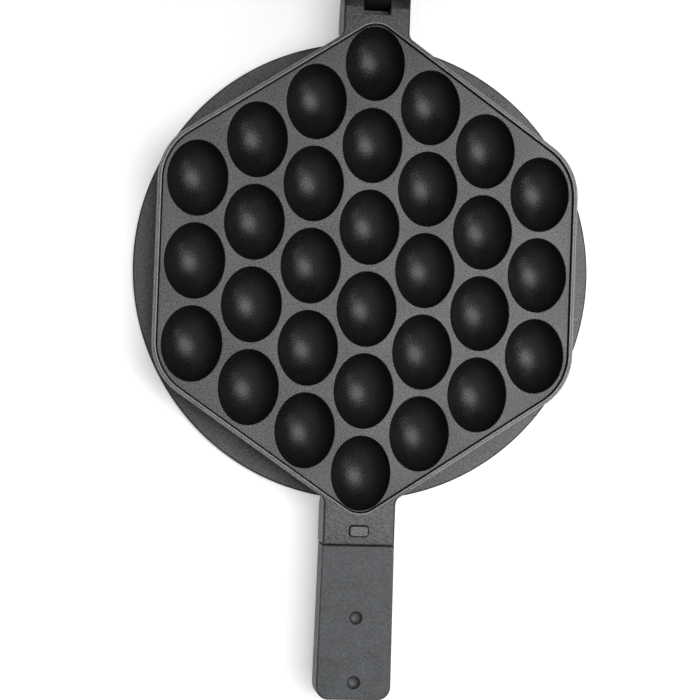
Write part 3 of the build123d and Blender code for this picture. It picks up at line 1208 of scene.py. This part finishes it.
    def lid(self) -> Piece:
        """Lid half: tongue with its stop heel, bore and key socket, then turned over and opened."""
        s = self.sizes
        piece = self.shared("lid_plate_casting", s.lid_neck_end)
        over, (across, down) = 2 * s.mating_z, spokes(s.heel_angle, s.heel_angle, 0)[0] * s.heel_offset
        heel_half = s.tongue_width / 2 - 0.01
        heel = self.bar(heel_half, s.hinge_y + across, over - s.hinge_z - down, s.heel_r, self.heel_edge_r)
        combine(piece, self.tongue(), Cut.JOIN)
        combine(piece, heel, Cut.JOIN)
        bore = self.bar(s.hinge_neck_width, s.hinge_y, over - s.hinge_z, s.tongue_bore_r)
        combine(piece, bore, Cut.REMOVE)
        socket = self.well(s.key_socket_size, s.key_corner_r, s.key_socket_depth, self.socket_mouth)
        combine(piece, socket, Cut.REMOVE)
        return self.finished(piece, Body.LID)

    def groove_offset(self, plan: np.ndarray) -> np.ndarray:
        """How far plan points lie outside the groove's line, along the normal of its nearest point.

        Args:
            plan: array (n, 2).

        Returns:
            Array of n distances, negative on the inside.
        """
        line = self.outline()
        nearest = ((plan[:, None] - line.points[None]) ** 2).sum(axis=2).argmin(axis=1)
        return ((plan - line.points[nearest]) * line.normals[nearest]).sum(axis=1)

    def bowl_share(self, points: np.ndarray) -> np.ndarray:
        """Share of the cavities' painted shade: 1 in the cavities, falling to 0 over the last of their depth
        below the land.

        Args:
            points: array (n, 3) in the half's own frame.

        Returns:
            Array of n shares.
        """
        s = self.sizes
        plan = points[:, None, :2] - s.cavity_centres()[None]
        radius = np.sqrt(((plan / (s.cavity_half_x, s.cavity_half_y)) ** 2).sum(axis=2)).min(axis=1)
        inside = (radius < 1.02) & (points[:, 2] > s.land_z - s.cavity_half_x - 0.2)
        return np.where(inside, np.clip((s.land_z - points[:, 2]) / self.shade_paint.bowl_fade, 0, 1), 0.0)

    def painted_shade_share(self, points: np.ndarray, offset: np.ndarray, body: Body) -> np.ndarray:
        """Up to 1 where painted shade darkens the coat.

        That is the seal groove, the key's foot, the base ring's outer side and the necks' face edges. On
        the lower half it is the slot and the tops of the ears too, and on the lid the tongue's front.

        Args:
            points: array (n, 3) in the half's own frame.
            offset: array of n distances outside the groove's line.
            body: the half that the points belong to.

        Returns:
            Array of n shares.
        """
        s, dark = self.sizes, self.shade_paint
        x, y, z = np.abs(points[:, 0]), points[:, 1], points[:, 2]
        drop = s.face_z - z
        groove = (np.abs(offset) < s.groove_width / 2 + NEAR) & (z < s.land_z - NEAR)
        groove &= z > s.land_z - s.groove_depth - 0.1
        moat = x < s.key_size[0] / 2 + dark.moat_reach
        moat &= np.abs(y - s.key_y) < s.key_size[1] / 2 + dark.moat_reach
        moat &= np.abs(drop - self.moat[1]) < 0.05
        if body is Body.LOWER:
            slot = (y > s.slot_root_y - 0.1) & (x < s.slot_width / 2 + 0.1) & (drop > 0.2)
            tops = np.clip((y - s.ear_root_y - dark.ear_start) / dark.ear_fade, 0, dark.ears)
            tops *= np.clip((z - s.hinge_z) / dark.ear_rise, 0, 1)
            hinge = np.maximum(tops, dark.hinge * slot)
        else:
            hinge = dark.hinge * ((y > s.slot_root_y - 1) & (y < s.hinge_y + 0.5) & (drop < -1))
        rim = (np.hypot(x, y) > s.ring_outer_r - dark.rim_reach) & (z < s.ring_thickness)
        brow = np.abs(y) > self.flare_centre(s.grip_neck_width)[1] - s.neck_fillet
        brow &= (x > dark.brow_start) & (y > self.end_r - s.grip_neck_end)
        brow &= (drop > NEAR) & (drop < self.neck_edge_r - NEAR)
        others = [dark.groove * groove, dark.moat * moat, dark.brow * brow, dark.rim * rim]
        return np.maximum.reduce([hinge, *others])

    def edge_share(self, points: np.ndarray, offset: np.ndarray) -> np.ndarray:
        """Painted highlight: 1 on the lip's inner edge, less on its outer one, its top and the key, and 0
        below their arcs.

        The outer edge is left alone beside the necks, whose faces run on from it.

        Args:
            points: array (n, 3) in the half's own frame.
            offset: array of n distances outside the groove's line.

        Returns:
            Array of n shares.
        """
        s, painted_highlight = self.sizes, self.painted_highlight
        rise = points[:, 2] - s.face_z
        crest, brow = s.groove_width / 2 + self.crest_r, s.lip_offset - self.edge_r
        inner = np.clip((crest + painted_highlight.width - offset) / painted_highlight.width, 0, painted_highlight.crest)
        outer = np.clip((offset - brow) / painted_highlight.width + 1, painted_highlight.top, 1)
        outer *= np.clip((rise + self.edge_r) / painted_highlight.fade, 0, 1) * (np.abs(points[:, 0]) > painted_highlight.neck_reach)
        inner *= np.clip((rise + self.crest_r) / painted_highlight.fade, 0, 1)
        lip = (offset > s.groove_width / 2 - NEAR) & (offset < s.lip_offset + NEAR)
        key = (rise > self.moat[1]) & (rise < s.key_rise + NEAR)
        return np.where(lip, np.maximum(inner, painted_highlight.brow * outer), 0.0) + painted_highlight.key * key

    def finished(self, piece: Piece, body: Body) -> Piece:
        """Marks where the coat has painted shade and a painted highlight, moves the lid to its place and
        shades the casting.

        Args:
            piece: the casting in the half's own frame.
            body: the half that it is.

        Returns:
            The same piece.
        """
        points = own_points(piece)
        offset = self.groove_offset(points[:, :2])
        mark(piece, "bowl", self.bowl_share(points))
        mark(piece, "painted_shade", self.painted_shade_share(points, offset, body))
        mark(piece, "edge", self.edge_share(points, offset))
        if body is Body.LID:
            stand_open(piece, self.sizes)
        shade(piece)
        return piece

    def build(self) -> None:
        """Makes both castings and dresses them."""
        coat = self.finish.material()
        place(self.lower(), Body.LOWER, "casting", coat, "lower_plate")
        place(self.lid(), Body.LID, "casting", coat, "lid_plate")


@dataclass
class GripHandle:
    """Moulded grip with the tang's pocket, two screw recesses in its back and two dimples in its face."""

    sizes: HalfSizes = HalfSizes()
    finish: Phenolic = Phenolic()
    start: float = 118.3
    end: float = 183.6
    front_width: float = 30.6
    end_width: float = 31.8
    thickness: float = 15.0
    draft: float = 7.0
    draft_depth: float = 9.0
    corner_r: float = 5.5
    back_r: float = 5.0
    face_r: float = 0.9
    clearance: float = 0.15
    recess_r: float = 2.7
    seat_z: float = 9.4
    hole_r: float = 1.7
    pocket_r: float = 2.32
    pocket_depth: float = 2.5
    dimple_r: float = 3.3
    dimple_depth: float = 1.7
    dimple_rim_r: float = 0.5
    # Painted shade along the face's long edges and on the dimples' walls.
    edge_shade: float = 0.6
    edge_start: float = 6.0
    edge_share: float = 0.85
    dimple_shade: float = 0.85
    dimple_floor_r: float = 1.3
    wall_start: float = 0.12
    wall_fade: float = 0.3

    @property
    def back_z(self) -> float:
        """Height of the grip's back."""
        return self.sizes.face_z - self.thickness

    def side_profile(self) -> np.ndarray:
        """Section of a side: a round back edge, a drafted wall and a small face edge.

        Returns:
            Array of offset from the face's outline and height, from the back up.
        """
        top, lean = self.sizes.face_z, math.radians(self.draft)
        wide = self.draft_depth * math.tan(lean)
        back = arc((wide - self.back_r, self.back_z + self.back_r), self.back_r, -90, 0, 10)
        inset = self.face_r * (1 - math.sin(lean)) / math.cos(lean)
        face = arc((-inset, top - self.face_r), self.face_r, self.draft, 90, 5)
        return np.vstack([back, [(wide, top - self.draft_depth)], face])

    def body(self) -> Shell:
        """Tapered block with rounded far corners, its side profile carried round its plan.

        Its front end stands upright, but for a round at the face of the same radius as the other edges.

        Returns:
            The closed block.
        """
        far, front = self.end_width / 2, self.front_width / 2
        corners = np.array([(-far, -self.end), (far, -self.end), (front, -self.start), (-front, -self.start)])
        path = rounded_polygon(corners, [self.corner_r, self.corner_r, 0.0, 0.0], steps=14)
        at_front = path.points[:, 1] > -self.start - 0.01
        normals = np.where(at_front[:, None], np.sign(path.points) * (1, 0), path.normals)
        block = Path(path.points, normals).block(self.side_profile())
        rise = np.clip(block.points[:, 2] - self.sizes.face_z + self.face_r, 0, self.face_r)
        inset = self.face_r - np.sqrt(self.face_r ** 2 - rise ** 2)
        inset *= block.points[:, 1] > -self.start - 0.01
        return block.moved(block.points - np.outer(inset, (0.0, 1.0, 0.0)))

    def dimple(self) -> np.ndarray:
        """Section of the dimple's cutter: a ball whose rim turns outwards into the face.

        The ball's centre is ball_z; the rim's arc begins where both arcs have the slope `lean`.

        Returns:
            Array of radius and height, from the ball's pole up.
        """
        top, ball, rim = self.sizes.face_z, self.dimple_r, self.dimple_rim_r
        ball_z = top + ball - self.dimple_depth
        lean = math.degrees(math.acos((ball - self.dimple_depth + rim) / (ball + rim)))
        bowl = arc((0.0, ball_z), ball, -90, lean - 90, 12)
        edge = arc(((ball + rim) * math.sin(math.radians(lean)), top - rim), rim, 90 + lean, 98, 5)
        mouth = edge[-1, 0] + 0.3
        return np.vstack([bowl, edge[1:], [(mouth, top + 0.03), (mouth, top + 1), (0.0, top + 1)]])

    def screw_way(self) -> np.ndarray:
        """Section of the way for one screw: a recess with a bevelled mouth, a hole and the insert's pocket.

        Returns:
            Array of radius and height, from below the back up.
        """
        back, pocket_z = self.back_z, self.sizes.tang_top_z + self.clearance
        mouth, pocket_end = self.recess_r + 0.35, pocket_z + self.pocket_depth
        return np.array([
            (0.0, back - 1), (mouth, back - 1), (mouth, back - 0.03), (self.recess_r, back + 0.35),
            (self.recess_r, self.seat_z), (self.hole_r, self.seat_z), (self.hole_r, pocket_z),
            (self.pocket_r, pocket_z), (self.pocket_r, pocket_end), (0.0, pocket_end),
        ])

    def brow_share(self, points: np.ndarray) -> np.ndarray:
        """Up to 1 where painted shade darkens the grip: along the face's long edges and on the dimples'
        walls.

        Args:
            points: array (n, 3) in the half's own frame.

        Returns:
            Array of n shares.
        """
        drop = self.sizes.face_z - points[:, 2]
        x, y = np.abs(points[:, 0]), -points[:, 1]
        edge = (drop > NEAR) & (drop < self.face_r * self.edge_share)
        edge &= (x > self.edge_start) & (y > self.start + self.face_r)
        away = np.min([np.hypot(x, y - screw_y) for screw_y in self.sizes.screw_ys], axis=0)
        wall = np.clip((away - self.dimple_floor_r) / self.dimple_floor_r, 0, 1)
        wall *= np.clip((drop - self.wall_start) / self.wall_fade, 0, 1)
        wall *= (away < self.dimple_r) & (drop < self.dimple_depth + 0.1)
        return np.maximum(self.edge_shade * edge, self.dimple_shade * wall)

    def make(self, name: str, body: Body) -> Piece:
        """Cuts the dimples, screw ways and pocket, and moves the lid's grip to its place.

        Args:
            name: the piece's name.
            body: the half that it belongs to.

        Returns:
            The finished grip.
        """
        s, gap = self.sizes, self.clearance
        piece = make_object(name, self.body().outward())
        for y in s.screw_ys:
            for profile in (self.dimple(), self.screw_way()):
                combine(piece, lathe(profile, 64, (0, -y, 0), "Z"), Cut.REMOVE)
        length = s.tang_end - self.start + gap + 5
        plan = rectangle(s.tang_width + 2 * gap, length, (0, -(s.tang_end + gap - length / 2)), 2.0)
        low, high = s.tang_top_z - s.tang_thickness - gap, s.tang_top_z + gap
        combine(piece, plan.block(np.array([(0.0, low), (0.0, high)])), Cut.REMOVE)
        mark(piece, "brow", self.brow_share(own_points(piece)))
        if body is Body.LID:
            stand_open(piece, s)
        shade(piece)
        return piece

    def build(self) -> None:
        """Makes both grips and dresses them."""
        phenolic = self.finish.material()
        for body, half in ((Body.LOWER, "lower"), (Body.LID, "lid")):
            place(self.make(half + "_grip_moulding", body), body, "grip", phenolic, half + "_grip")


@dataclass(frozen=True)
class SmallMetal:
    """Finishes of the pin, the screws and the inserts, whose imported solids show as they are."""

    pin: Metal = Metal("turned_steel", (0.55, 0.55, 0.55))
    screws: Metal = Metal("zinc_plate", (0.36, 0.36, 0.37), 0.4)
    inserts: Metal = Metal("insert_brass", (0.55, 0.40, 0.17))

    def build(self) -> None:
        """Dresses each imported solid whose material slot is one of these."""
        slots = {"pin_steel": self.pin, "screw_steel": self.screws, "insert_brass": self.inserts}
        finishes = {slot: metal.material() for slot, metal in slots.items()}
        for part in frame["record"]["subparts"]:
            if part["material_slot"] in finishes:
                dress(frame["nodes"][part["node"]], finishes[part["material_slot"]])
                LOG.info("%s: the packed solid, dressed", part["node"])


@dataclass(frozen=True)
class Studio:
    """Pale floor, soft light and the photograph's camera, in metres and degrees."""

    lens: float = 61.485
    sensor: float = 36.0
    camera_place: Place = (-0.053685, -0.041480, 0.526786)
    camera_x: Place = (0.994992, 0.036186, 0.093179)
    camera_y: Place = (-0.037168, 0.999270, 0.008826)
    camera_back: Place = (-0.092791, -0.012245, 0.995610)
    zenith_level: float = 0.56
    horizon_level: float = 0.12
    lamp_target: Place = (0.0, 0.0, 0.02)
    lamp_turn: float = -22.0
    key_place: Place = (0.34, 0.04, 0.88)
    key_size: Pair = (0.85, 0.46)
    key_power: float = 6.2
    low_place: Place = (0.95, -0.48, 0.52)
    low_size: Pair = (0.40, 0.34)
    low_power: float = 2.5
    floor_reach: float = 4000.0
    floor_level: float = 0.92
    floor_roughness: float = 0.9
    glow_span: Pair = (0.3, 1.2)
    glow: Pair = (0.33, 0.64)

    @staticmethod
    def stand(thing: Piece, x: Sequence[float], y: Sequence[float], back: Sequence[float],
              place: Sequence[float]) -> None:
        """Links a camera or lamp into the scene and places it.

        Args:
            thing: the object, which looks against its back axis.
            x: direction of its X axis.
            y: direction of its Y axis.
            back: direction of its Z axis.
            place: its origin in metres.
        """
        axes = np.column_stack([x, y, back, place])
        thing.matrix_world = Matrix(np.vstack([axes, (0, 0, 0, 1)]).tolist())
        bpy.context.scene.collection.objects.link(thing)

    def camera(self) -> None:
        """Camera fitted to the cavities' rows and columns in the photograph."""
        data = bpy.data.cameras.new("camera")
        data.lens = self.lens
        data.sensor_width = self.sensor
        data.clip_start = 0.01
        camera = bpy.data.objects.new("camera", data)
        self.stand(camera, self.camera_x, self.camera_y, self.camera_back, self.camera_place)
        bpy.context.scene.camera = camera

    def lamp(self, name: str, place: Place, size: Pair, power: float) -> None:
        """Soft rectangular lamp that looks at the middle of the object, its long side turned in the plan.

        Args:
            name: the lamp's name.
            place: its centre in metres.
            size: its length and width in metres.
            power: its power in watts.
        """
        data = bpy.data.lights.new(name, "AREA")
        data.shape = "RECTANGLE"
        data.size, data.size_y = size
        data.energy = power
        back = (Vector(place) - Vector(self.lamp_target)).normalized()
        turn = math.radians(self.lamp_turn)
        across = back.cross(Vector((math.cos(turn), math.sin(turn), 0.0))).normalized()
        self.stand(bpy.data.objects.new(name, data), across.cross(back), across, back, place)

    def world(self) -> None:
        """Pale surroundings, brighter overhead than at the horizon, and white to the camera."""
        world = bpy.data.worlds.new("studio")
        bpy.context.scene.world = world
        sheet = NodeSheet(world)
        axes = sheet.add("SeparateXYZ", Vector=sheet.add("TexCoord").outputs["Generated"])
        sky = sheet.spread(axes.outputs["Z"], (0.0, 1.0), (self.horizon_level, self.zenith_level))
        seen = sheet.add("LightPath").outputs["Is Camera Ray"]
        sheet.surface(Color=(1.0, 1.0, 1.0, 1.0), Strength=sheet.spread(seen, (0.0, 1.0), (sky, 1.0)))

    def floor(self) -> None:
        """Flat pale floor that adds white for the camera, more of it far off, and keeps the shadow."""
        corners = np.array([(-1, -1, 0), (1, -1, 0), (1, 1, 0), (-1, 1, 0)]) * self.floor_reach
        floor = make_object("floor", Shell(corners, quads=np.array([[0, 1, 2, 3]])))
        material = bpy.data.materials.new("floor_white")
        sheet = NodeSheet(material)
        path = sheet.add("LightPath")
        seen = sheet.maths("MAXIMUM", path.outputs["Is Camera Ray"], path.outputs["Is Glossy Ray"])
        distance = sheet.add("VectorMath", operation="LENGTH")
        sheet.feed(distance.inputs[0], sheet.add("TexCoord").outputs["Object"])
        glow = sheet.spread(distance.outputs["Value"], self.glow_span, self.glow)
        sheet.surface(
            Base_Color=(self.floor_level, self.floor_level, self.floor_level, 1.0),
            Roughness=self.floor_roughness,
            Emission_Color=(1.0, 1.0, 1.0, 1.0),
            Emission_Strength=sheet.maths("MULTIPLY", seen, glow),
        )
        dress(floor, material)

    def build(self) -> None:
        """Makes the whole studio."""
        bpy.context.scene.view_settings.view_transform = "Standard"
        self.camera()
        self.world()
        self.floor()
        self.lamp("key_lamp", self.key_place, self.key_size, self.key_power)
        self.lamp("low_lamp", self.low_place, self.low_size, self.low_power)


def main() -> None:
    """Builds the studio and every sub-assembly."""
    for part in (Studio(), HalfCasting(), GripHandle(), SmallMetal()):
        part.build()


if __name__ == "__main__":
    main()
